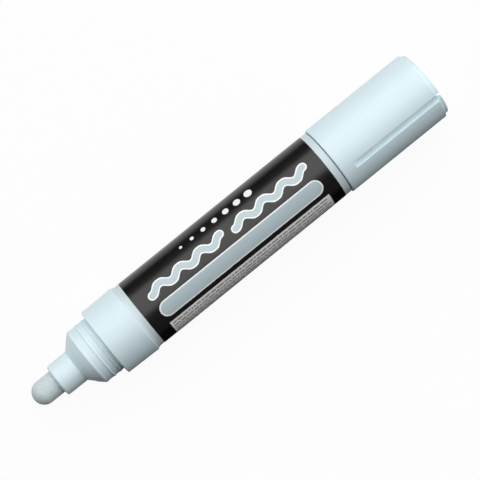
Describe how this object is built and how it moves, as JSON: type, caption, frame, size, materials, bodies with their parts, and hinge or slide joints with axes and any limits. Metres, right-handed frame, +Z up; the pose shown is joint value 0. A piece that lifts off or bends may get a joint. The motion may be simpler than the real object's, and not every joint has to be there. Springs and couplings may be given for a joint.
{
  "type": "liquid chalk marker",
  "caption": "Thick round valve-fed chalk marker with a bullet felt nib, its vented cap posted on the rear end.",
  "frame": {"origin": "centre of the bounding box's bottom, on the surface that the marker lies on", "axes": "+X along the marker from the nib towards the cap, +Z up"},
  "size_m": [0.1444, 0.0222, 0.0222],
  "materials": {
    "body_plastic": "satin moulded polypropylene, pale blue-grey",
    "label_print": "glossy printed film, black with plain pale panels",
    "nib_felt": "bonded felt, off-white",
    "seal_rubber": "smooth moulded rubber",
    "valve_plastic": "natural white moulded plastic",
    "spring_steel": "drawn stainless wire",
    "ball_steel": "polished stainless"
  },
  "bodies": {
    "marker_body": {"barrel": "body_plastic", "label_film": "label_print", "front_section": "body_plastic", "nozzle": "body_plastic", "valve_gasket": "seal_rubber", "valve_housing": "valve_plastic", "valve_spring": "spring_steel", "valve_cage": "valve_plastic"},
    "nib": {"nib": "nib_felt"},
    "plunger": {"valve_plunger": "valve_plastic", "plunger_seal": "seal_rubber"},
    "ball": {"mixing_ball": "ball_steel"},
    "cap": {"cap_shell": "body_plastic", "cap_insert": "body_plastic"}
  },
  "joints": [
    {"name": "cap_slide", "type": "slide", "parent": "marker_body", "child": "cap", "axis": [1, 0, 0], "range_m": [0, 0.03]},
    {"name": "nib_press", "type": "slide", "parent": "marker_body", "child": "nib", "axis": [1, 0, 0], "range_m": [0, 0.002], "stiffness_N_per_m": 600, "springref_m": -0.005},
    {"name": "valve_open", "type": "slide", "parent": "marker_body", "child": "plunger", "axis": [1, 0, 0], "range_m": [0, 0.002], "deforming": ["valve_spring"]},
    {"name": "ball_shake", "type": "slide", "parent": "marker_body", "child": "ball", "axis": [1, 0, 0], "range_m": [0, 0.05]}
  ],
  "couplings": [
    {"joint": "valve_open", "follows": "nib_press", "ratio": 1}
  ]
}
